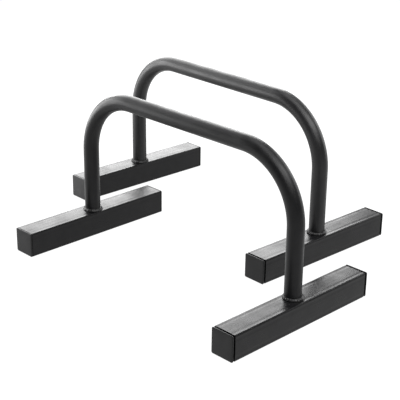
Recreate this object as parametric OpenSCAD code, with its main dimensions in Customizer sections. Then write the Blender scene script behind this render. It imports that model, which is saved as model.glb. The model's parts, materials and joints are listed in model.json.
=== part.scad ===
// A pair of low steel parallette bars for floor training. Each bar is one round
// tube bent into a U and stood on two crosswise box-section feet. A weld bead
// runs round the base of each leg, and a plastic cap closes each end of a foot.
// Lengths are in millimetres, +Z is up and the floor is z = 0. The rails run
// along X, the front bar is on the -Y side and the left feet are on the -X side.
// The origin is on the floor, under the middle of the pair as it stands.

/* [Grip tube] */
// Outside diameter of the grip tube
grip_d = 32; // [28:0.5:36]
// Wall of the grip tube
grip_wall = 2; // [1:0.1:4]
// Height of the rail's centre line above the floor
rail_height = 307; // [260:1:500]
// Distance between the centre lines of a bar's two legs
leg_spacing = 556.5; // [400:1:800]
// Radius of the two bends, measured to the centre line of the tube
bend_radius = 125; // [80:1:150]

/* [Feet] */
// Height of the box section that the feet are cut from
foot_height = 50; // [40:1:60]
// Width of the box section
foot_width = 50; // [46:1:60]
// Length of a foot's tube without its end caps
foot_length = 345; // [250:1:500]
// Wall of the box section
foot_wall = 2; // [1.5:0.1:3]
// Outer radius of the box section's long corners
foot_corner = 3; // [2.5:0.1:5]
// How far each leg stands inboard of the middle of its foot
leg_inset = 2.5; // [0:0.5:4]

/* [Welds] */
// How far a bead reaches out over the foot
weld_reach = 4; // [2:0.1:5]
// How far a bead climbs up the leg
weld_rise = 5; // [2:0.1:8]
// How far the middle of a bead stands proud of a straight fillet
weld_crown = 0.9; // [0.2:0.1:1.5]
// Number of ripples round a bead
ripple_count = 24; // [12:1:32]
// Depth of the ripples
ripple_depth = 0.4; // [0.1:0.05:0.8]
// How much a bead swells and thins on its way round the leg
weld_wander = 0.35; // [0:0.05:0.8]

/* [End caps] */
// Thickness of the flange that shows outside the tube
flange_thickness = 3; // [2.5:0.1:8]
// Rounding of the flange's outer edge
flange_edge = 1.5; // [0.4:0.1:1.8]
// Rounding of the flange's back edge
flange_back_edge = 0.4; // [0.2:0.1:0.6]
// How far the caps of a left foot stand off the cut ends of its tube
left_cap_gap = 0.8; // [0:0.1:4]
// How far the caps of a right foot stand off the cut ends of its tube
right_cap_gap = 3.8; // [0:0.1:4]
// How far the plug reaches into the tube
plug_depth = 18; // [10:0.5:40]
// Wall of the hollow plug
plug_wall = 2; // [1:0.1:3]
// Room between the plug's sleeve and the inside of the tube
plug_room = 1.5; // [0.5:0.1:3]
// Number of gripping fins round the plug
fin_count = 3; // [2:1:5]
// Thickness of a fin
fin_thickness = 1; // [0.5:0.1:1.5]
// Clearance between the fins and the inside of the tube
fin_clearance = 0.1; // [0.05:0.05:0.4]

/* [Pair] */
// How far the rear bar stands to the left of the front bar
pair_shift = 158; // [0:1:250]
// How far the rear bar stands behind the front bar, middle to middle
pair_gap = 261; // [150:1:600]
// Turn of the rear bar on the floor, clockwise from above, in degrees
pair_turn = 1.7; // [0:0.1:5]

/* [Hidden] */
$fn = 96;

// Sides of the bar and ends of a foot
left = -1;
right = 1;
near = -1;
far = 1;

// Colours of the coated steel, the coat over the welds and the plastic
coat_black = [0.16, 0.16, 0.17];
bead_black = [0.13, 0.13, 0.14];
cap_black = [0.20, 0.20, 0.21];

// Angles at which the swelling of each bead starts, so no two beads are alike
front_left_start = 20;
front_right_start = 140;
rear_left_start = 250;
rear_right_start = 80;

// Extra depth of a cut, so that no two cut faces lie on each other
cut_over = 1;

grip_r = grip_d / 2;
bend_level = rail_height - bend_radius;
foot_place = leg_spacing / 2 + leg_inset;

// Inside of the foot tube, which the caps plug into
bore_width = foot_width - 2 * foot_wall;
bore_height = foot_height - 2 * foot_wall;
bore_corner = max(foot_corner - foot_wall, 0.5);
fin_pitch = (plug_depth - fin_thickness) / fin_count;

// Steps round a bead and across its face, and the gap that keeps the bead's
// flat facets off the round leg
bead_steps = 4 * ripple_count;
bead_rows = 7;
bead_seat = 0.02;

// Distance of a cap's flange from the middle of its foot
function flange_place(side) = foot_length / 2 + (side == left ? left_cap_gap : right_cap_gap);

// A bar's outermost points in plan lie on the round corners of its four flanges.
// This is how far it reaches in a direction when it is turned by an angle.
flange_corners = [for (side = [left, right], end = [near, far], out = [-1, 1])
    [side * foot_place + out * (foot_width / 2 - flange_edge),
        end * (flange_place(side) + flange_thickness - flange_edge)]];
function turned(point, turn) = [point.x * cos(turn) + point.y * sin(turn),
    point.y * cos(turn) - point.x * sin(turn)];
function reach(direction, turn) =
    max([for (corner = flange_corners) direction * turned(corner, turn)]) + flange_edge;

// Box round the pair, with the front bar's middle at its zero
pair_left = -max(reach([-1, 0], 0), pair_shift + reach([-1, 0], pair_turn));
pair_right = max(reach([1, 0], 0), -pair_shift + reach([1, 0], pair_turn));
pair_front = -max(reach([0, -1], 0), -pair_gap + reach([0, -1], pair_turn));
pair_back = max(reach([0, 1], 0), pair_gap + reach([0, 1], pair_turn));
front_bar_place = [-(pair_left + pair_right) / 2, -(pair_front + pair_back) / 2, 0];
rear_bar_place = front_bar_place + [-pair_shift, pair_gap, 0];

module front_bar() {
    translate(front_bar_place) children();
}

module rear_bar() {
    translate(rear_bar_place) rotate([0, 0, -pair_turn]) children();
}

module at_leg(side) {
    translate([side * leg_spacing / 2, 0, foot_height]) children();
}

module at_foot(side) {
    translate([side * foot_place, 0, foot_height / 2]) children();
}

// Rectangle with round corners, made of true arcs
module round_box(width, height, corner) {
    square([width - 2 * corner, height], center = true);
    square([width, height - 2 * corner], center = true);
    for (x = [-1, 1], y = [-1, 1])
        translate([x * (width / 2 - corner), y * (height / 2 - corner)]) circle(corner);
}

// Solid that follows the U of the grip tube, legs first, then bends and rail
module grip_run(radius, below) {
    leg_straight = bend_level - foot_height;
    rail_straight = leg_spacing - 2 * bend_radius;
    for (side = [left, right])
        at_leg(side) translate([0, 0, -below]) cylinder(r = radius, h = leg_straight + below);
    for (side = [left, right])
        translate([side * (leg_spacing / 2 - bend_radius), 0, bend_level])
            rotate([90, 0, 0])
                rotate([0, side == left ? 180 : 0, 0])
                    rotate_extrude(angle = 90)
                        translate([bend_radius, 0]) circle(radius);
    translate([-rail_straight / 2, 0, rail_height])
        rotate([0, 90, 0]) cylinder(r = radius, h = rail_straight);
}

// One tube with two bends. Its ends are cut square and stand on the feet.
module grip_tube() {
    color(coat_black)
        difference() {
            grip_run(grip_r, 0);
            grip_run(grip_r - grip_wall, cut_over);
        }
}

// Box-section tube that lies across the bar under one leg
module foot_tube(side) {
    color(coat_black)
        at_foot(side)
            rotate([90, 0, 0])
                difference() {
                    linear_extrude(foot_length, center = true)
                        round_box(foot_width, foot_height, foot_corner);
                    linear_extrude(foot_length + 2 * cut_over, center = true)
                        round_box(bore_width, bore_height, bore_corner);
                }
}

// Slow swelling of a bead round the leg, which runs from -1 to 1. Each bead
// starts at an angle of its own.
function swell(angle, start) = (sin(angle + start) + sin(3 * angle + 2 * start) + sin(5 * angle - start)) / 3;

// Ripples of a bead, from 0 to 1. They trail at the toe and at the crest, so
// each one is a shallow arc across the bead.
function ripple(angle, across) = 0.5 + 0.5 * cos(ripple_count * angle - 150 * pow(2 * across - 1, 2));

// Point of a bead in its own frame, from 0 at the leg to 1 at the toe on the foot
function bead_radius(angle, across, start) =
    let (reach = weld_reach * across,
        bulge = weld_crown * 4 * across * (1 - across) + ripple_depth * ripple(angle, across) * sin(180 * across),
        wander = weld_wander * swell(angle, start) * across)
    grip_r + bead_seat + reach + bulge / sqrt(2) + wander;

function bead_height(angle, across, start) =
    let (rise = weld_rise * (1 - across),
        bulge = weld_crown * 4 * across * (1 - across) + ripple_depth * ripple(angle, across) * sin(180 * across),
        wander = weld_wander * swell(angle + 90, start) * (1 - across))
    rise + bulge / sqrt(2) + wander;

function on_circle(radius, angle, height) = [radius * cos(angle), radius * sin(angle), height];

// Weld bead round the base of a leg, a ring of triangles. Each step round it has
// a foot point under the leg's wall and then a row of points across its face.
module weld_bead(side, start) {
    step_angle = 360 / bead_steps;
    wall_r = (grip_r + bead_seat) / cos(step_angle / 2);
    ring = bead_rows + 1;
    points = [for (i = [0:bead_steps - 1])
        let (angle = i * step_angle)
        each concat(
            [on_circle(wall_r, angle, 0)],
            [for (j = [0:bead_rows - 1])
                let (across = j / (bead_rows - 1))
                on_circle(max(wall_r, bead_radius(angle, across, start)), angle,
                    bead_height(angle, across, start))])];
    faces = [for (i = [0:bead_steps - 1], j = [0:ring - 1])
        let (here = i * ring, next = ((i + 1) % bead_steps) * ring, up = (j + 1) % ring)
        each [[here + j, here + up, next + up], [here + j, next + up, next + j]]];
    color(bead_black) at_leg(side) polyhedron(points, faces);
}

// Edge of a flange in section: depth runs out to the rim and thickness goes up.
// The outer edge and the back edge are rounded, each by its own radius.
module flange_section(depth) {
    rim = flange_thickness - flange_edge;
    translate([0, flange_back_edge]) square([depth, rim - flange_back_edge]);
    translate([0, flange_back_edge]) square([depth - flange_edge, flange_thickness - flange_back_edge]);
    square([depth - flange_back_edge, rim]);
    translate([depth - flange_edge, rim]) circle(flange_edge);
    translate([depth - flange_back_edge, flange_back_edge]) circle(flange_back_edge);
}

// Flange of a cap, flush with the tube's sides, thickness upwards: the section
// runs along the four sides and turns round the four corners
module cap_flange() {
    across = foot_width / 2 - foot_corner;
    up = foot_height / 2 - foot_corner;
    translate([-across, -up, 0]) cube([2 * across, 2 * up, flange_thickness]);
    for (turn = [0, 180])
        rotate([0, 0, turn]) {
            translate([across, up, 0]) rotate([90, 0, 0]) linear_extrude(2 * up) flange_section(foot_corner);
            translate([-across, up, 0])
                rotate([90, 0, 90]) linear_extrude(2 * across) flange_section(foot_corner);
            translate([across, up, 0]) rotate_extrude(angle = 90) flange_section(foot_corner);
            translate([-across, up, 0])
                rotate([0, 0, 90]) rotate_extrude(angle = 90) flange_section(foot_corner);
        }
}

// Hollow plug behind the flange, with fins that grip the inside of the tube
module cap_plug() {
    sleeve_width = bore_width - 2 * plug_room;
    sleeve_height = bore_height - 2 * plug_room;
    translate([0, 0, -plug_depth])
        difference() {
            union() {
                linear_extrude(plug_depth) round_box(sleeve_width, sleeve_height, bore_corner);
                for (i = [0:fin_count - 1])
                    translate([0, 0, i * fin_pitch])
                        linear_extrude(fin_thickness)
                            round_box(bore_width - 2 * fin_clearance,
                                bore_height - 2 * fin_clearance, bore_corner);
            }
            translate([0, 0, -cut_over])
                linear_extrude(plug_depth + cut_over)
                    square([sleeve_width - 2 * plug_wall, sleeve_height - 2 * plug_wall], center = true);
        }
}

// Plastic cap pressed into one end of a foot tube, not always fully home
module end_cap(side, end) {
    color(cap_black)
        at_foot(side)
            translate([0, end * flange_place(side), 0])
                rotate([-90 * end, 0, 0])
                    union() {
                        cap_flange();
                        cap_plug();
                    }
}

// Front bar
front_bar() grip_tube();  // front_grip_tube
front_bar() foot_tube(left);  // front_left_foot_tube
front_bar() foot_tube(right);  // front_right_foot_tube
front_bar() weld_bead(left, front_left_start);  // front_left_weld
front_bar() weld_bead(right, front_right_start);  // front_right_weld
front_bar() end_cap(left, near);  // front_left_near_cap
front_bar() end_cap(left, far);  // front_left_far_cap
front_bar() end_cap(right, near);  // front_right_near_cap
front_bar() end_cap(right, far);  // front_right_far_cap

// Rear bar
rear_bar() grip_tube();  // rear_grip_tube
rear_bar() foot_tube(left);  // rear_left_foot_tube
rear_bar() foot_tube(right);  // rear_right_foot_tube
rear_bar() weld_bead(left, rear_left_start);  // rear_left_weld
rear_bar() weld_bead(right, rear_right_start);  // rear_right_weld
rear_bar() end_cap(left, near);  // rear_left_near_cap
rear_bar() end_cap(left, far);  // rear_left_far_cap
rear_bar() end_cap(right, near);  // rear_right_near_cap
rear_bar() end_cap(right, far);  // rear_right_far_cap
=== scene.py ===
"""Looks of a pair of steel parallette bars: satin black powder coat on the tubes,
rippled weld beads round the legs and moulded plastic caps in the feet. Lengths
are in metres, +Z is up and the floor is z = 0."""
import json
import math
import random

import bpy
from mathutils import Matrix, Vector


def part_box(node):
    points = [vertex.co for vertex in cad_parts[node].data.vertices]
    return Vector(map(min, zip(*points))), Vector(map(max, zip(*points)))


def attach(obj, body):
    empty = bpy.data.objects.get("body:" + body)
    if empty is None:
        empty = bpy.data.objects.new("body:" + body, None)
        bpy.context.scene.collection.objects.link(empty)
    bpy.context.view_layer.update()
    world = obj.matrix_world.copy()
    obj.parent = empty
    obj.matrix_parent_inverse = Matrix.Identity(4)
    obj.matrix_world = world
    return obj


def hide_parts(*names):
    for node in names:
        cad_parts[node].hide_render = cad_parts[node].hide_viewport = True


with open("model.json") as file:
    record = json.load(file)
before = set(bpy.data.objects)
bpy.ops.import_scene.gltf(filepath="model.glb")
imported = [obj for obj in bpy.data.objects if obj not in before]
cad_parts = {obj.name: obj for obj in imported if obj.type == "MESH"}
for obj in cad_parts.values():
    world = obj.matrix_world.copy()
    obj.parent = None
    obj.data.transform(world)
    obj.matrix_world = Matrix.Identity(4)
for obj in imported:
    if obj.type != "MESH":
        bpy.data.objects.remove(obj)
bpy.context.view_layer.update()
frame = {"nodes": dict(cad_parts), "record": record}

MM = 0.001
# Two lengths this close are taken as the same
NEAR = 0.01 * MM
# A normal points along Y when its Y share is over FACING, and across Y under SIDEWAYS
FACING = 0.99
SIDEWAYS = 0.1

# Sizes and places that the frame gives. The rear bar is the front bar again, set
# down behind it and turned a little.
MOUNTS = {mount["name"]: mount for mount in frame["record"]["mounts"]}
GRIP_R = MOUNTS["front_rail_grip"]["dims"]["r_mm"] * MM
REAR_AXIS = MOUNTS["rear_rail_grip"]["axis"]


def middle_of(node):
    low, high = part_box(node)
    return (Vector(low) + Vector(high)) / 2


def size_of(node):
    low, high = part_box(node)
    return Vector(high) - Vector(low)


def on_floor(point):
    return Vector((point.x, point.y, 0.0))


BAR_MIDDLE = {bar: on_floor(middle_of(bar + "_grip_tube")) for bar in ("front", "rear")}
BAR_TURN = {"front": 0.0, "rear": math.atan2(REAR_AXIS[1], REAR_AXIS[0])}
SIDES = {"left": -1, "right": 1}
ENDS = {"near": -1, "far": 1}
FOOT_WIDTH, FOOT_LENGTH, FOOT_HEIGHT = size_of("front_left_foot_tube")
FOOT_PLACE = middle_of("front_right_foot_tube").x - BAR_MIDDLE["front"].x
FOOT_MIDDLE = Vector((0.0, 0.0, FOOT_HEIGHT / 2))
LEG_PLACE = size_of("front_grip_tube").x / 2 - GRIP_R

# Section of the foot tubes
FOOT_WALL = 2.0 * MM
FOOT_CORNER = 3.2 * MM
CORNER_STEPS = 6
RIM_EDGE = 0.4 * MM
RIM_STEPS = 3
RIM_ANGLE_DEG = 60.0
FOOT_SMOOTH_DEG = 40.0
# A shallow valley runs beside each long edge: how far each line of it lies from the
# middle of a face, and how far below it
FACE_LINES = {11.5 * MM: 0.0, 14.0 * MM: 0.14 * MM, 17.0 * MM: 0.42 * MM,
              19.4 * MM: 0.22 * MM}
CORNER_DROP = 0.02 * MM
# How far round a foot's corner the toe of a bead can lie, as a share of its radius
CORNER_REACH = 0.95

# End caps: flange, crown of its face, and the plug with its fins
FLANGE = 3.0 * MM
FLANGE_EDGE = 1.3 * MM
FLANGE_STEPS = 4
FLANGE_BACK_EDGE = 0.9 * MM
FLANGE_BACK_STEPS = 2
CAP_SMOOTH_DEG = 35.0
CROWN_RINGS = ((3.0 * MM, 0.12 * MM), (5.0 * MM, 0.10 * MM), (7.0 * MM, 0.06 * MM))
CROWN = sum(rise for step, rise in CROWN_RINGS)
PLUG_INSET = 3.6 * MM
PLUG_WALL = 2.0 * MM
PLUG_CORNER = 1.0 * MM
PLUG_STEPS = 3
PLUG_SEAT = 0.5 * MM
FIN_REACH = 1.5 * MM
FIN = 1.0 * MM
FIN_SPACE = 4.6 * MM
FIN_COUNT = 3

# Weld beads: a ring of points, drawn in rows from the leg to the toe
WELD_STEPS = 112
WELD_ROWS = 6
WELD_REACH = 4.0 * MM
WELD_RISE = 5.0 * MM
WELD_CROWN = 0.9 * MM
WELD_SINK = 0.3 * MM
WELD_SMOOTHING = 2
WELD_SEED = 20
WELD_SEED_STEP = 7
# Ripples: how far the ends of each trail its middle, how far it may be off its place
# and how wide it is on each side, as shares of their spacing, and how far it stands out
RIPPLES = 28
RIPPLE_LAG = math.radians(11.0)
RIPPLE_SHIFT = 0.12
RIPPLE_HALF = (0.24, 0.36)
RIPPLE_PUSH_MM = (0.3, 0.55)
# Where a bead's end runs over its start: half widths in degrees and pushes
LAP_PUSHES = ((16.0, 0.35 * MM), (9.0, 0.3 * MM), (3.5, -0.5 * MM))
# Points of a bead lower than this over the foot belong to its toe
TOE_HEIGHT = 1.5 * MM
# Cloudy noises that push the bead in and out: scale and strength
WELD_WANDER = (10.0 * MM, 1.5 * MM)
WELD_LUMPS = (2.2 * MM, 0.2 * MM)
LUMP_DEPTH = 2
# Each bead is laid a little more to one side of its leg
LEAN_WAY = Vector((0.69, 0.72, 0.0))
WELD_LEAN = {"front_left": 0.6 * MM, "front_right": 1.8 * MM, "rear_left": 0.6 * MM,
             "rear_right": 0.5 * MM}
# Drops of spatter: radius, way from the toe, spread across the foot as a share of
# its width, and how much each drop is stretched and flattened
SPATTER_COUNT = 4
SPATTER_ROUNDING = 2
SPATTER_RADIUS_MM = (0.3, 0.6)
SPATTER_AWAY_MM = (2.0, 16.0)
SPATTER_SPREAD = 0.34
SPATTER_STRETCH = (0.9, 1.3)
SPATTER_HEIGHT = (0.6, 0.9)

# Powder coat: its colours, then the size of the draw marks of the steel under it, long
# along the grip tubes and feet and even all ways on the beads. A noise is its scale per
# metre, its detail and, where that isn't a half, its roughness
COAT_DARK = (0.0025, 0.0025, 0.003)
COAT_LIGHT = (0.005, 0.005, 0.0055)
COAT_DUST = (0.06, 0.06, 0.06)
TUBE_MARKS = (60.0 * MM, 1.6 * MM, 60.0 * MM)
FOOT_MARKS = (1.8 * MM, 70.0 * MM, 1.8 * MM)
WELD_MARKS = (3.0 * MM, 3.0 * MM, 3.0 * MM)
MARK_NOISE = (1.0, 2.0, 0.55)
MARK_SHEEN = 0.04
MARK_RISE = 0.018 * MM
NIB_SPACING = 11.0 * MM
NIB_RADIUS = 0.6 * MM
NIB_RISE = 0.15 * MM
DUST_NOISE = (1300.0, 1.0)
DUST_BAND = (0.70, 0.78)
DUST_SHARE = 0.35
CLOUD_NOISE = (45.0, 4.0)
SHEEN_NOISE = (26.0, 3.0)
PEEL_NOISE = (380.0, 1.0)
PEEL_RISE = 0.025 * MM
GRAIN_NOISE = (1500.0, 2.0)
GRAIN_RISE = 0.006 * MM
# Roughness of each coat, from and to, and its gloss
TUBE_ROUGHNESS = (0.35, 0.45)
TUBE_GLOSS = {"front": 0.22, "rear": 0.36}
FOOT_ROUGHNESS = (0.29, 0.39)
FOOT_GLOSS = 0.20
WELD_ROUGHNESS = (0.30, 0.42)
WELD_GLOSS = 0.25

# Cap plastic: its dark and light tone and its gloss, then painted light: lighter tones and gloss
# for one cap, standing in for more light falling on it; then its roughness, scuffs, flow marks
# and spark-eroded grain
CAP_TONES = ((0.005, 0.005, 0.0055), (0.009, 0.009, 0.0095))
CAP_GLOSS = 0.22
# Painted light: this cap's plastic is made lighter to stand in for the brighter light that falls
# on it
PAINTED_LIGHT_CAP = "rear_left_near_end_cap"
PAINTED_LIGHT_CAP_TONES = ((0.026, 0.026, 0.027), (0.040, 0.040, 0.041))
PAINTED_LIGHT_CAP_GLOSS = 0.23
CAP_ROUGHNESS = (0.36, 0.46)
CAP_SHEEN_NOISE = (40.0, 2.0)
SCUFF_NOISE = (60.0, 3.0)
FLOW_NOISE = (90.0, 2.0)
FLOW_RISE = 0.06 * MM
SPARK_NOISE = (1400.0, 3.0, 0.7)
SPARK_RISE = 0.03 * MM

# Nearly all of a noise lies between these values
NOISE_LOW = 0.35
NOISE_HIGH = 0.65

# Floor and world
FLOOR_SIZE = 60.0
FLOOR_GLOW = 0.96
FLOOR_TONE = 0.1
WORLD_STRENGTH = 0.3

# Soft boxes round the bars: azimuth and elevation in degrees, distance, width and
# height in metres, then radiance
SOFT_BOXES = {
    "back_panel": (143.0, 25.0, 2.0, 1.68, 1.45, 7.3),
    "left_panel": (205.0, 9.0, 1.25, 1.08, 0.66, 6.5),
    "left_high": (194.0, 31.0, 2.0, 1.3, 1.3, 3.0),
    "overhead": (0.0, 90.0, 2.0, 1.4, 1.4, 2.9),
    "front_high": (338.0, 52.0, 2.0, 1.6, 1.2, 6.0),
    "right_high": (20.0, 48.0, 2.0, 0.8, 0.8, 4.0),
    "right_back": (76.0, 18.0, 2.0, 1.8, 1.3, 2.6),
}
BOX_AIM = Vector((0.0, 0.0, 0.15))

# Camera, from the middle of the front bar, with its roll in radians
CAMERA_PLACE = Vector((1.3762, -1.3108, 0.9198))
CAMERA_AIM = Vector((-0.0943, 0.1345, 0.0876))
CAMERA_LENS_MM = 97.255
CAMERA_SENSOR_MM = 36.0
CAMERA_ROLL = 0.01288


def make_camera():
    data = bpy.data.cameras.new("camera")
    data.lens = CAMERA_LENS_MM
    data.sensor_width = CAMERA_SENSOR_MM
    camera = bpy.data.objects.new("camera", data)
    bpy.context.scene.collection.objects.link(camera)
    look = (CAMERA_AIM - CAMERA_PLACE).to_track_quat("-Z", "Y").to_matrix().to_4x4()
    place = Matrix.Translation(BAR_MIDDLE["front"] + CAMERA_PLACE)
    camera.matrix_world = place @ look @ Matrix.Rotation(CAMERA_ROLL, 4, "Z")
    bpy.context.scene.camera = camera


# Modelling
def clear_bench():
    """Ends edit mode and leaves nothing selected."""
    if bpy.context.mode != "OBJECT":
        bpy.ops.object.mode_set(mode="OBJECT")
    bpy.ops.object.select_all(action="DESELECT")


def take(piece):
    """Leaves object mode with this piece alone selected."""
    clear_bench()
    piece.select_set(True)
    bpy.context.view_layer.objects.active = piece


def settle(piece):
    """Moves an object's place, turn and scale into its mesh."""
    take(piece)
    bpy.ops.object.transform_apply(location=True, rotation=True, scale=True)


def new_box(name, size, middle):
    clear_bench()
    bpy.ops.mesh.primitive_cube_add(size=1.0, location=middle)
    piece = bpy.context.object
    piece.name = name
    piece.scale = size
    settle(piece)
    return piece


def clear_choice(piece, kind):
    take(piece)
    bpy.ops.object.mode_set(mode="EDIT")
    bpy.ops.mesh.select_mode(type=kind)
    bpy.ops.mesh.select_all(action="DESELECT")
    bpy.ops.object.mode_set(mode="OBJECT")


def choose_faces(piece, test):
    """Selects the faces whose middle and normal pass a test, in edit mode."""
    clear_choice(piece, "FACE")
    for face in piece.data.polygons:
        face.select = test(face.center, face.normal)
    bpy.ops.object.mode_set(mode="EDIT")


def choose_edges(piece, test):
    """Selects the edges whose two ends pass a test, in edit mode."""
    clear_choice(piece, "EDGE")
    points = piece.data.vertices
    for edge in piece.data.edges:
        edge.select = test(points[edge.vertices[0]].co, points[edge.vertices[1]].co)
    bpy.ops.object.mode_set(mode="EDIT")


def choose_points(piece, test):
    """Selects the points whose place and number pass a test, in edit mode."""
    clear_choice(piece, "VERT")
    for point in piece.data.vertices:
        point.select = test(point.co, point.index)
    bpy.ops.object.mode_set(mode="EDIT")


def cut_across(piece, place, direction):
    """Adds a line of edges all round a piece where a plane meets it."""
    take(piece)
    bpy.ops.object.mode_set(mode="EDIT")
    bpy.ops.mesh.select_all(action="SELECT")
    bpy.ops.mesh.bisect(plane_co=place, plane_no=direction)


def apply_modifier(piece, kind, **settings):
    take(piece)
    modifier = piece.modifiers.new(kind.lower(), kind)
    for name, value in settings.items():
        setattr(modifier, name, value)
    bpy.ops.object.modifier_apply(modifier=modifier.name)


def make_smooth(piece, angle_deg):
    take(piece)
    bpy.ops.object.shade_smooth_by_angle(angle=math.radians(angle_deg))


def skin_drop(across):
    """How far the top of a foot lies below its middle, this far across from there."""
    across = abs(across)
    tangent = FOOT_WIDTH / 2 - CORNER_DROP - FOOT_CORNER
    lines = [*FACE_LINES.items(), (tangent, CORNER_DROP)]
    for (start, drop), (end, next_drop) in zip(lines, lines[1:]):
        if across < end:
            return drop + (next_drop - drop) * max(0.0, across - start) / (end - start)
    past = min(across - tangent, CORNER_REACH * FOOT_CORNER)
    return CORNER_DROP + FOOT_CORNER - math.sqrt(FOOT_CORNER ** 2 - past ** 2)


def press_valleys(piece):
    """Presses the four faces of a box in along lines beside its long edges."""
    half = FOOT_WIDTH / 2
    for reach in FACE_LINES:
        for side in (-1, 1):
            cut_across(piece, (side * reach, 0.0, 0.0), (1.0, 0.0, 0.0))
            cut_across(piece, (0.0, 0.0, half + side * reach), (0.0, 0.0, 1.0))
    for reach, drop in FACE_LINES.items():
        for side in (-1, 1):
            choose_points(piece, lambda p, i: abs(abs(p.x) - reach) < NEAR
                          and (p.z - half) * side > half - NEAR)
            bpy.ops.transform.translate(value=(0.0, 0.0, -side * drop))
            choose_points(piece, lambda p, i: abs(abs(p.z - half) - reach) < NEAR
                          and p.x * side > half - NEAR)
            bpy.ops.transform.translate(value=(-side * drop, 0.0, 0.0))
    choose_points(piece, lambda p, i: min(abs(p.x), abs(p.z - half)) > half - NEAR)
    ratio = 1 - CORNER_DROP / half
    bpy.ops.transform.resize(value=(ratio, 1.0, ratio), center_override=(0.0, 0.0, half))


def foot_tube():
    """Box section with rounded long edges and shallow valleys, open at both ends."""
    piece = new_box("foot", (FOOT_WIDTH, FOOT_LENGTH, FOOT_HEIGHT), FOOT_MIDDLE)
    choose_faces(piece, lambda place, normal: abs(normal.y) > FACING)
    bpy.ops.mesh.delete(type="ONLY_FACE")
    press_valleys(piece)
    outermost = max(FACE_LINES) + NEAR
    choose_edges(piece, lambda a, b: abs(a.y - b.y) > FOOT_LENGTH / 2
                 and min(abs(a.x), abs(a.z - FOOT_MIDDLE.z)) > outermost)
    bpy.ops.mesh.bevel(offset=FOOT_CORNER, segments=CORNER_STEPS, affect="EDGES")
    apply_modifier(piece, "SOLIDIFY", thickness=FOOT_WALL, offset=-1.0, use_even_offset=True)
    apply_modifier(piece, "BEVEL", width=RIM_EDGE, segments=RIM_STEPS, limit_method="ANGLE",
                   angle_limit=math.radians(RIM_ANGLE_DEG))
    make_smooth(piece, FOOT_SMOOTH_DEG)
    apply_modifier(piece, "WEIGHTED_NORMAL", keep_sharp=True)
    return piece


def draw_out(distance):
    """Extrudes the chosen faces along +Y."""
    bpy.ops.mesh.extrude_region_move(TRANSFORM_OT_translate={"value": (0.0, distance, 0.0)})


def crown_face(piece):
    """Raises the face of a cap in rings, to a shallow crown."""
    choose_faces(piece, lambda place, normal: normal.y < -FACING)
    reach = FOOT_WIDTH / 2 - FLANGE_EDGE
    for step, rise in CROWN_RINGS:
        draw_out(-rise)
        ratio = (reach - step) / reach
        bpy.ops.transform.resize(value=(ratio, 1.0, ratio), center_override=FOOT_MIDDLE)
        reach -= step


def cap_plug():
    """Hollow plug behind a cap's flange, with fins that grip the tube."""
    side = FOOT_WIDTH - 2 * PLUG_INSET
    length = PLUG_SEAT + FIN_SPACE
    forward = Vector((0.0, FLANGE - PLUG_SEAT + length / 2, 0.0))
    piece = new_box("plug", (side, length, side), FOOT_MIDDLE + forward)
    choose_edges(piece, lambda a, b: abs(a.y - b.y) > FIN_SPACE)
    bpy.ops.mesh.bevel(offset=PLUG_CORNER, segments=PLUG_STEPS, affect="EDGES")
    choose_faces(piece, lambda place, normal: normal.y > FACING)
    for fin in range(FIN_COUNT):
        if fin > 0:
            draw_out(FIN_SPACE)
        draw_out(FIN)
    bpy.ops.mesh.inset(thickness=PLUG_WALL)
    draw_out(-FIN_COUNT * (FIN_SPACE + FIN))
    spread = 1 + FIN_REACH / (side / 2)
    wall = side / 2 - PLUG_WALL / 2
    for fin in range(FIN_COUNT):
        low = FLANGE + FIN_SPACE + fin * (FIN_SPACE + FIN)
        choose_faces(piece, lambda place, normal: low < place.y < low + FIN
                     and abs(normal.y) < SIDEWAYS
                     and max(abs(place.x), abs(place.z - FOOT_MIDDLE.z)) > wall)
        draw_out(0.0)
        bpy.ops.transform.resize(value=(spread, 1.0, spread), center_override=FOOT_MIDDLE)
    return piece


def end_cap():
    """Cap for the near end of a foot, its face at y = 0 and its plug towards +Y."""
    forward = Vector((0.0, (FLANGE + CROWN) / 2, 0.0))
    piece = new_box("cap", (FOOT_WIDTH, FLANGE - CROWN, FOOT_HEIGHT), FOOT_MIDDLE + forward)
    choose_edges(piece, lambda a, b: abs(a.y - b.y) > FLANGE / 2)
    bpy.ops.mesh.bevel(offset=FOOT_CORNER, segments=CORNER_STEPS, affect="EDGES")
    choose_edges(piece, lambda a, b: max(a.y, b.y) < CROWN + NEAR)
    bpy.ops.mesh.bevel(offset=FLANGE_EDGE, segments=FLANGE_STEPS, affect="EDGES")
    choose_edges(piece, lambda a, b: min(a.y, b.y) > FLANGE - NEAR)
    bpy.ops.mesh.bevel(offset=FLANGE_BACK_EDGE, segments=FLANGE_BACK_STEPS, affect="EDGES")
    crown_face(piece)
    plug = cap_plug()
    take(piece)
    plug.select_set(True)
    bpy.ops.object.join()
    make_smooth(piece, CAP_SMOOTH_DEG)
    return piece


def bead_profile(across):
    """Radius from the leg's middle and height over the foot, from leg to toe."""
    # A parabola as high as the crown in its middle, square to the bead's slope
    bulge = WELD_CROWN * 4 * across * (1 - across) / math.sqrt(2)
    reach = -WELD_SINK + (WELD_REACH + 2 * WELD_SINK) * across + bulge
    rise = WELD_RISE + WELD_SINK - (WELD_RISE + 2 * WELD_SINK) * across + bulge
    return GRIP_R + reach, rise


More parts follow.
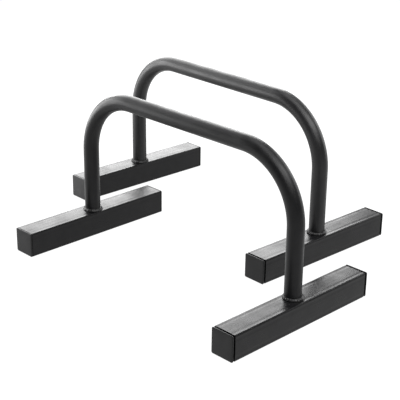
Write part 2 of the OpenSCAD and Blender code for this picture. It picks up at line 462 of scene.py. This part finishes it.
def draw_bead(name, leg):
    """Ring of a bead, drawn row by row from the leg to the toe and closed below."""
    radius, height = bead_profile(0.0)
    clear_bench()
    bpy.ops.mesh.primitive_circle_add(vertices=WELD_STEPS, radius=radius, fill_type="NOTHING",
                                      location=leg + Vector((0.0, 0.0, height)))
    piece = bpy.context.object
    piece.name = name
    settle(piece)
    bpy.ops.object.mode_set(mode="EDIT")
    bpy.ops.mesh.select_mode(type="EDGE")
    bpy.ops.mesh.select_all(action="SELECT")
    rows = [bead_profile(row / WELD_ROWS) for row in range(1, WELD_ROWS + 1)]
    rows.append((radius, rows[-1][1]))
    for next_radius, next_height in rows:
        bpy.ops.mesh.extrude_region_move(
            TRANSFORM_OT_translate={"value": (0.0, 0.0, next_height - height)})
        ratio = next_radius / radius
        bpy.ops.transform.resize(value=(ratio, ratio, 1.0), center_override=leg)
        radius, height = next_radius, next_height
    last = len(rows) * WELD_STEPS
    choose_points(piece, lambda p, i: i < WELD_STEPS or i >= last)
    bpy.ops.mesh.select_mode(type="EDGE")
    bpy.ops.mesh.bridge_edge_loops()
    bpy.ops.mesh.select_all(action="SELECT")
    bpy.ops.mesh.normals_make_consistent(inside=False)
    return piece


def is_between(index):
    """Tells whether a point lies in a row between the leg and the toe."""
    return 0 < index // WELD_STEPS < WELD_ROWS


def way_round(point, leg, start):
    """Angle round the leg from a start to a point, the shorter way."""
    angle = math.atan2(point.y - leg.y, point.x - leg.x) - start
    return abs((angle + math.pi) % (2 * math.pi) - math.pi)


def raise_ripples(piece, leg, draw):
    """Pushes out the crest of each ripple, which trails at the leg and at the toe."""
    pitch = 2 * math.pi / RIPPLES
    start = draw.uniform(0.0, pitch)
    for ripple in range(RIPPLES):
        crest = start + ripple * pitch + draw.uniform(-RIPPLE_SHIFT, RIPPLE_SHIFT) * pitch
        half = pitch * draw.uniform(*RIPPLE_HALF)

        def on_crest(point, index):
            lag = RIPPLE_LAG * (2 * (index // WELD_STEPS) / WELD_ROWS - 1) ** 2
            return is_between(index) and way_round(point, leg, crest - lag) < half

        choose_points(piece, on_crest)
        bpy.ops.transform.shrink_fatten(value=draw.uniform(*RIPPLE_PUSH_MM) * MM)


def add_lap(piece, leg, draw):
    """Thickens a bead where its end runs over its start, with a small crater."""
    place = draw.uniform(-math.pi, math.pi)
    for half_deg, push in LAP_PUSHES:
        half = math.radians(half_deg)

        def at_lap(point, index):
            return is_between(index) and way_round(point, leg, place) < half

        choose_points(piece, at_lap)
        bpy.ops.transform.shrink_fatten(value=push)


def lay_toe_on_corner(piece):
    """Lets the toe follow the foot's skin where it falls away towards its edge."""
    take(piece)
    for point in piece.data.vertices:
        if point.co.z < FOOT_HEIGHT + TOE_HEIGHT:
            point.co.z -= skin_drop(abs(point.co.x) - FOOT_PLACE)


def add_spatter(piece, side, leg, draw):
    """Small drops of weld metal on the foot round a bead, sunk a little into it."""
    drops = []
    for number in range(SPATTER_COUNT):
        radius = draw.uniform(*SPATTER_RADIUS_MM) * MM
        away = (GRIP_R + WELD_REACH + draw.uniform(*SPATTER_AWAY_MM) * MM) * draw.choice((-1, 1))
        across = side * FOOT_PLACE + draw.uniform(-SPATTER_SPREAD, SPATTER_SPREAD) * FOOT_WIDTH
        clear_bench()
        bpy.ops.mesh.primitive_ico_sphere_add(subdivisions=SPATTER_ROUNDING, radius=radius,
                                              location=(across, leg.y + away, FOOT_HEIGHT))
        drop = bpy.context.object
        drop.scale = (draw.uniform(*SPATTER_STRETCH), draw.uniform(*SPATTER_STRETCH),
                      draw.uniform(*SPATTER_HEIGHT))
        settle(drop)
        bpy.ops.object.shade_smooth()
        drops.append(drop)
    take(piece)
    for drop in drops:
        drop.select_set(True)
    bpy.ops.object.join()


def roughen(piece, scale, strength):
    """Pushes a bead's skin in and out by a cloudy noise of this scale."""
    texture = bpy.data.textures.new("weld_lumps", "CLOUDS")
    texture.noise_scale = scale
    texture.noise_depth = LUMP_DEPTH
    apply_modifier(piece, "DISPLACE", texture=texture, strength=strength, mid_level=0.5,
                   texture_coords="LOCAL")


def lean_bead(piece, lean):
    """Draws each row of a bead to one side, the toe most."""
    for row in range(1, WELD_ROWS + 1):
        choose_points(piece, lambda p, i: i // WELD_STEPS == row)
        bpy.ops.transform.translate(value=LEAN_WAY * (lean * row / WELD_ROWS))


def weld_bead(name, side, lean, seed):
    draw = random.Random(seed)
    leg = Vector((side * LEG_PLACE, 0.0, FOOT_HEIGHT))
    piece = draw_bead(name, leg)
    lean_bead(piece, lean)
    raise_ripples(piece, leg, draw)
    add_lap(piece, leg, draw)
    lay_toe_on_corner(piece)
    apply_modifier(piece, "SUBSURF", levels=WELD_SMOOTHING, render_levels=WELD_SMOOTHING)
    roughen(piece, *WELD_WANDER)
    roughen(piece, *WELD_LUMPS)
    take(piece)
    bpy.ops.object.shade_smooth()
    add_spatter(piece, side, leg, draw)
    return piece


# Putting the pieces on the two bars
def copy_of(piece, name):
    copy = piece.copy()
    copy.data = piece.data.copy()
    copy.name = name
    bpy.context.scene.collection.objects.link(copy)
    return copy


def put_on_bar(piece, bar, node):
    """Carries a piece from the bar's own frame to its place on a bar."""
    turn = Matrix.Rotation(BAR_TURN[bar], 4, "Z")
    piece.matrix_world = Matrix.Translation(BAR_MIDDLE[bar]) @ turn
    settle(piece)
    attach(piece, bar + "_bar")
    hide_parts(node)


def make_feet():
    first = foot_tube()
    pieces = []
    for bar in BAR_MIDDLE:
        for side, sign in SIDES.items():
            piece = copy_of(first, "%s_%s_foot" % (bar, side))
            piece.location = (sign * FOOT_PLACE, 0.0, 0.0)
            settle(piece)
            put_on_bar(piece, bar, "%s_%s_foot_tube" % (bar, side))
            pieces.append(piece)
    bpy.data.objects.remove(first)
    return pieces


def make_caps():
    """Puts a cap in both ends of each foot, as far from the middle as the CAD's."""
    first = end_cap()
    pieces = []
    for bar in BAR_MIDDLE:
        for side, sign in SIDES.items():
            face_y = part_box("front_%s_near_cap" % side)[0][1]
            reach = BAR_MIDDLE["front"].y - face_y
            for end, way in ENDS.items():
                piece = copy_of(first, "%s_%s_%s_end_cap" % (bar, side, end))
                if end == "far":
                    piece.rotation_euler = (0.0, 0.0, math.pi)
                piece.location = (sign * FOOT_PLACE, way * reach, 0.0)
                settle(piece)
                put_on_bar(piece, bar, "%s_%s_%s_cap" % (bar, side, end))
                pieces.append(piece)
    bpy.data.objects.remove(first)
    return pieces


def make_welds():
    pieces = []
    for number, bar in enumerate(BAR_MIDDLE):
        for side, sign in SIDES.items():
            name = "%s_%s" % (bar, side)
            seed = WELD_SEED + WELD_SEED_STEP * number + sign
            piece = weld_bead(name + "_weld_bead", sign, WELD_LEAN[name], seed)
            put_on_bar(piece, bar, name + "_weld")
            pieces.append(piece)
    return pieces


# Nodes of a material
class Maker:
    """Adds shader nodes to one material and links them."""

    def __init__(self, name):
        self.material = bpy.data.materials.new(name)
        self.material.use_nodes = True
        self.tree = self.material.node_tree
        self.tree.nodes.clear()
        self.coords = self.add("ShaderNodeTexCoord").outputs["Object"]

    def add(self, kind, **values):
        node = self.tree.nodes.new(kind)
        for name, value in values.items():
            setattr(node, name, value)
        return node

    def link(self, output, target):
        self.tree.links.new(output, target)

    def noise(self, scale, detail, roughness=0.5, coords=None):
        node = self.add("ShaderNodeTexNoise")
        self.link(coords or self.coords, node.inputs["Vector"])
        node.inputs["Scale"].default_value = scale
        node.inputs["Detail"].default_value = detail
        node.inputs["Roughness"].default_value = roughness
        return node.outputs["Fac"]

    def dots(self, spacing, radius):
        """Small round rises, this far apart on average inside the piece."""
        node = self.add("ShaderNodeTexVoronoi", feature="F1")
        self.link(self.coords, node.inputs["Vector"])
        node.inputs["Scale"].default_value = 1 / spacing
        return self.spread(node.outputs["Distance"], 1.0, 0.0, 0.0, radius / spacing)

    def marks(self, bar, size):
        """Noise in marks of this size, laid along a bar that may be turned."""
        node = self.add("ShaderNodeMapping", vector_type="TEXTURE")
        self.link(self.coords, node.inputs["Vector"])
        node.inputs["Location"].default_value = BAR_MIDDLE[bar]
        node.inputs["Rotation"].default_value = (0.0, 0.0, BAR_TURN[bar])
        node.inputs["Scale"].default_value = size
        return self.noise(*MARK_NOISE, node.outputs["Vector"])

    def spread(self, value, low, high, from_low=NOISE_LOW, from_high=NOISE_HIGH):
        node = self.add("ShaderNodeMapRange")
        self.link(value, node.inputs["Value"])
        node.inputs["From Min"].default_value = from_low
        node.inputs["From Max"].default_value = from_high
        node.inputs["To Min"].default_value = low
        node.inputs["To Max"].default_value = high
        return node.outputs["Result"]

    def combine(self, operation, first, second):
        """Works out one value from two, of which the second may be a plain number."""
        node = self.add("ShaderNodeMath", operation=operation)
        self.link(first, node.inputs[0])
        if isinstance(second, float):
            node.inputs[1].default_value = second
        else:
            self.link(second, node.inputs[1])
        return node.outputs[0]

    def blend(self, amount, first, second):
        node = self.add("ShaderNodeMix", data_type="RGBA")
        self.link(amount, node.inputs["Factor"])
        for socket, colour in ((node.inputs["A"], first), (node.inputs["B"], second)):
            if isinstance(colour, tuple):
                socket.default_value = (*colour, 1.0)
            else:
                self.link(colour, socket)
        return node.outputs["Result"]

    def bump(self, height, distance, below=None):
        node = self.add("ShaderNodeBump")
        self.link(height, node.inputs["Height"])
        node.inputs["Strength"].default_value = 1.0
        node.inputs["Distance"].default_value = distance
        if below is not None:
            self.link(below, node.inputs["Normal"])
        return node.outputs["Normal"]

    def show(self, shader):
        """Gives the material this shader and hands the material over."""
        output = self.add("ShaderNodeOutputMaterial")
        self.link(shader, output.inputs["Surface"])
        return self.material

    def finish(self, colour, roughness, normal, gloss):
        shader = self.add("ShaderNodeBsdfPrincipled")
        self.link(colour, shader.inputs["Base Color"])
        self.link(roughness, shader.inputs["Roughness"])
        self.link(normal, shader.inputs["Normal"])
        shader.inputs["Specular IOR Level"].default_value = gloss
        return self.show(shader.outputs["BSDF"])


def powder_coat(name, bar, marks, roughness, gloss):
    """Satin black powder coat over drawn steel: draw marks along the tube, orange
    peel, a cloudy sheen, small nibs in the coat and a little pale dust."""
    maker = Maker(name)
    drawn = maker.marks(bar, marks)
    nibs = maker.dots(NIB_SPACING, NIB_RADIUS)
    clouds = maker.blend(maker.spread(maker.noise(*CLOUD_NOISE), 0.0, 1.0), COAT_DARK, COAT_LIGHT)
    dust = maker.spread(maker.noise(*DUST_NOISE), 0.0, DUST_SHARE, *DUST_BAND)
    sheen = maker.spread(maker.noise(*SHEEN_NOISE), *roughness)
    rough = maker.combine("ADD", sheen, maker.spread(drawn, -MARK_SHEEN, MARK_SHEEN))
    peel = maker.bump(maker.noise(*PEEL_NOISE), PEEL_RISE)
    lines = maker.bump(drawn, MARK_RISE, peel)
    grain = maker.bump(maker.noise(*GRAIN_NOISE), GRAIN_RISE, lines)
    skin = maker.bump(nibs, NIB_RISE, grain)
    return maker.finish(maker.blend(dust, clouds, COAT_DUST), rough, skin, gloss)


def tube_coat(bar):
    return powder_coat(bar + "_tube_coat", bar, TUBE_MARKS, TUBE_ROUGHNESS, TUBE_GLOSS[bar])


def foot_coat(bar):
    return powder_coat(bar + "_foot_coat", bar, FOOT_MARKS, FOOT_ROUGHNESS, FOOT_GLOSS)


def weld_coat(bar):
    return powder_coat(bar + "_weld_coat", bar, WELD_MARKS, WELD_ROUGHNESS, WELD_GLOSS)


def moulded_plastic(name, tones, gloss):
    """Black moulded plastic with a fine spark-eroded grain and scuffed patches."""
    maker = Maker(name)
    colour = maker.blend(maker.spread(maker.noise(*SCUFF_NOISE), 0.0, 1.0), *tones)
    rough = maker.spread(maker.noise(*CAP_SHEEN_NOISE), *CAP_ROUGHNESS)
    flow = maker.bump(maker.noise(*FLOW_NOISE), FLOW_RISE)
    grain = maker.bump(maker.noise(*SPARK_NOISE), SPARK_RISE, flow)
    return maker.finish(colour, rough, grain, gloss)


def cap_plastic():
    return moulded_plastic("cap_plastic", CAP_TONES, CAP_GLOSS)


# Painted light: a lighter copy of the cap plastic, standing in for more light on one cap
def pale_cap_plastic():
    return moulded_plastic("pale_cap_plastic", PAINTED_LIGHT_CAP_TONES, PAINTED_LIGHT_CAP_GLOSS)


def of_bar(pieces, bar):
    return [piece for piece in pieces if piece.name.startswith(bar)]


def dress(pieces, material):
    for piece in pieces:
        piece.data.materials.clear()
        piece.data.materials.append(material)


def dress_bars(feet, caps, welds):
    """Gives every piece of both bars its finish."""
    for bar in BAR_MIDDLE:
        dress([frame["nodes"][bar + "_grip_tube"]], tube_coat(bar))
        dress(of_bar(feet, bar), foot_coat(bar))
        dress(of_bar(welds, bar), weld_coat(bar))
    dress(caps, cap_plastic())
    # The one cap with painted light gets the lighter copy of the plastic
    dress([cap for cap in caps if cap.name == PAINTED_LIGHT_CAP], pale_cap_plastic())


# Floor and light
def floor_white():
    """Shows white to the camera and in reflections, and still takes a shadow."""
    maker = Maker("floor_white")
    path = maker.add("ShaderNodeLightPath")
    seen = maker.combine("MAXIMUM", path.outputs["Is Camera Ray"], path.outputs["Is Glossy Ray"])
    seen = maker.combine("MAXIMUM", seen, path.outputs["Is Transmission Ray"])
    glow = maker.add("ShaderNodeEmission")
    maker.link(maker.combine("MULTIPLY", seen, FLOOR_GLOW), glow.inputs["Strength"])
    matte = maker.add("ShaderNodeBsdfDiffuse")
    matte.inputs["Color"].default_value = (FLOOR_TONE, FLOOR_TONE, FLOOR_TONE, 1.0)
    both = maker.add("ShaderNodeAddShader")
    maker.link(glow.outputs[0], both.inputs[0])
    maker.link(matte.outputs[0], both.inputs[1])
    return maker.show(both.outputs[0])


def make_floor():
    clear_bench()
    bpy.ops.mesh.primitive_plane_add(size=FLOOR_SIZE, location=(0.0, 0.0, 0.0))
    floor = bpy.context.object
    floor.name = "floor"
    floor.data.materials.append(floor_white())


def make_world():
    world = bpy.data.worlds.new("studio")
    world.use_nodes = True
    background = world.node_tree.nodes["Background"]
    background.inputs["Color"].default_value = (1.0, 1.0, 1.0, 1.0)
    background.inputs["Strength"].default_value = WORLD_STRENGTH
    bpy.context.scene.world = world


def soft_box(name, azimuth, elevation, distance, width, height, radiance):
    """Rectangular lamp that faces the bars, with power in step with its size."""
    data = bpy.data.lights.new(name, "AREA")
    data.shape = "RECTANGLE"
    data.size = width
    data.size_y = height
    data.energy = radiance * math.pi * width * height
    lamp = bpy.data.objects.new(name, data)
    bpy.context.scene.collection.objects.link(lamp)
    turn = math.radians(azimuth)
    rise = math.radians(elevation)
    away = Vector((math.cos(turn) * math.cos(rise),
                   math.sin(turn) * math.cos(rise),
                   math.sin(rise)))
    lamp.location = BOX_AIM + away * distance
    lamp.rotation_euler = away.to_track_quat("Z", "Y").to_euler()
    lamp.visible_camera = False


# The scene
make_camera()
dress_bars(make_feet(), make_caps(), make_welds())
make_floor()
make_world()
for name, place in SOFT_BOXES.items():
    soft_box(name, *place)

bpy.context.scene.view_settings.view_transform = "Standard"
